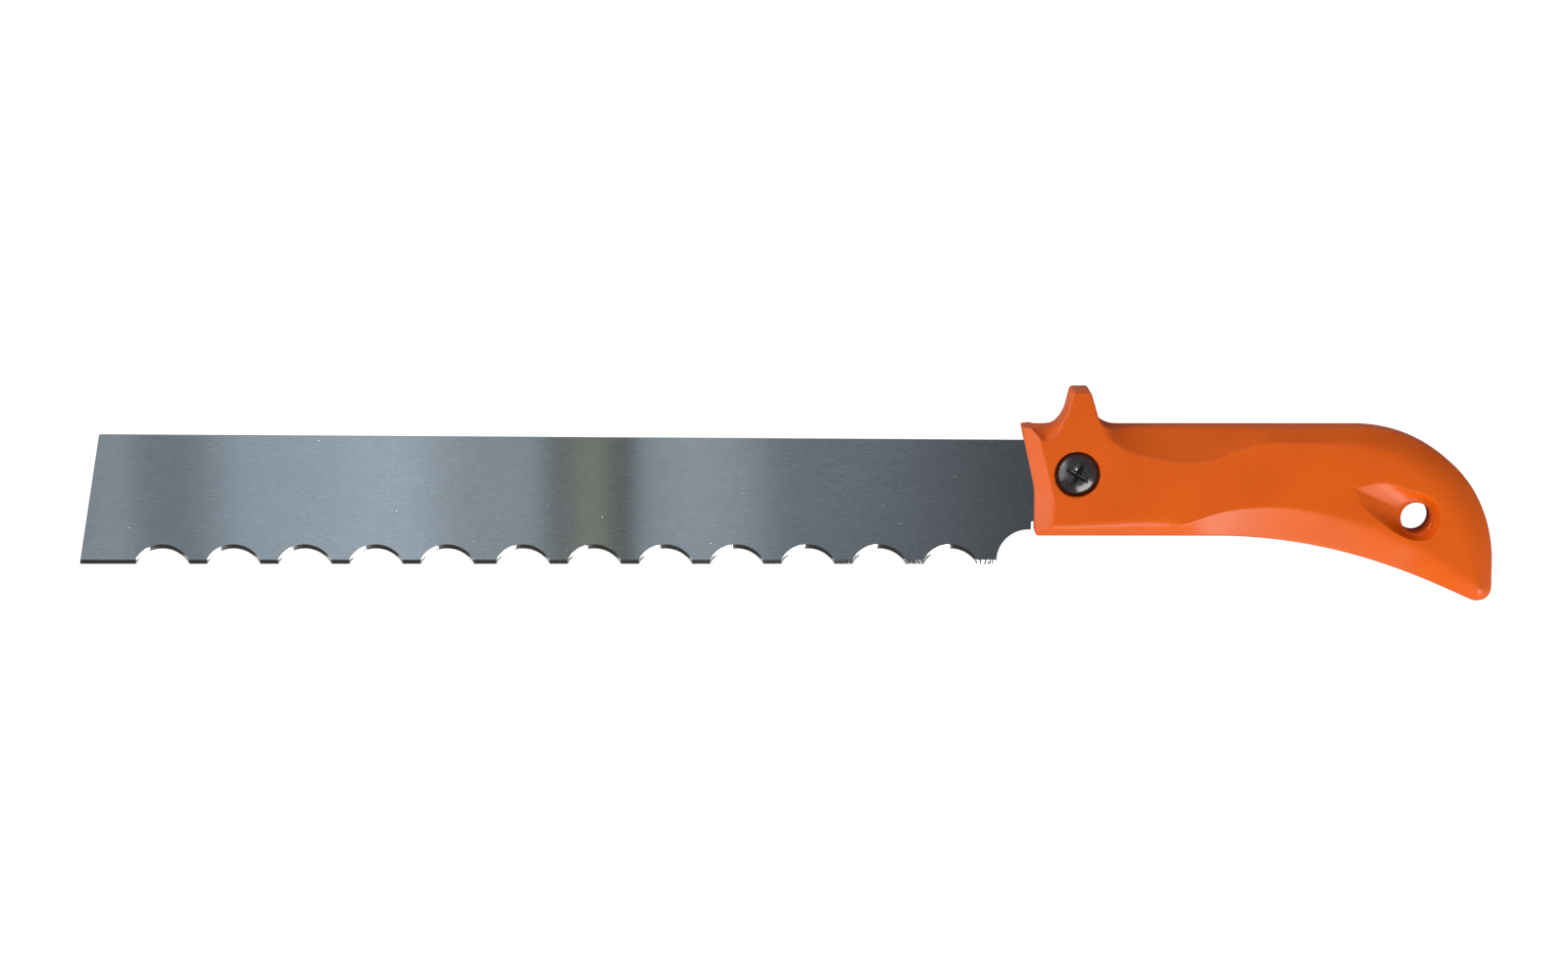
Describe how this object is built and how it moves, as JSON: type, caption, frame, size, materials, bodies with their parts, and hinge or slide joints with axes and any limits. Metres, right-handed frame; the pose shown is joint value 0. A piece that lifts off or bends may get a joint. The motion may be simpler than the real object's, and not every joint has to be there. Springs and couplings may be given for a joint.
{
  "type": "insulation hand saw",
  "caption": "Hand saw for insulation board and soft sheet: long flat blade with a scalloped ground edge, held by a clamp screw in a two-shell moulded grip with a thumb tab and a hanging hole.",
  "frame": {"origin": "centre of the bottom of the whole saw's box, lying flat on the grip's back face", "axes": "+X from the blade's tip to the butt of the grip, +Y from the cutting edge to the spine, +Z out of the front face, where the clamp screw's head is"},
  "size_m": [0.4614, 0.0692, 0.0212],
  "materials": {
    "blade_steel": "bright rolled, satin",
    "grip_plastic": "fine moulded, satin",
    "black_steel": "black chromate, glossy",
    "zinc_steel": "bright zinc"
  },
  "bodies": {
    "handle": {"front_shell": "grip_plastic", "back_shell": "grip_plastic", "clamp_nut": "zinc_steel", "shell_screw_1": "zinc_steel", "shell_screw_2": "zinc_steel", "shell_screw_3": "zinc_steel"},
    "blade": {"blade": "blade_steel"},
    "washer": {"spring_washer": "black_steel"},
    "screw": {"clamp_screw": "black_steel"}
  },
  "joints": [
    {"name": "blade_slide", "type": "slide", "parent": "handle", "child": "blade", "axis": [-1, 0, 0], "range_m": [0, 0.05]},
    {"name": "washer_lift", "type": "slide", "parent": "handle", "child": "washer", "axis": [0, 0, 1], "range_m": [0, 0.004]},
    {"name": "screw_turn", "type": "hinge", "parent": "washer", "child": "screw", "pos_m": [0.0949, 0.0077, 0.01], "axis": [0, 0, 1], "range_deg": [0, 1470]}
  ],
  "couplings": [
    {"joint": "screw_turn", "follows": "washer_lift", "rad_per_m": 6283.2}
  ]
}
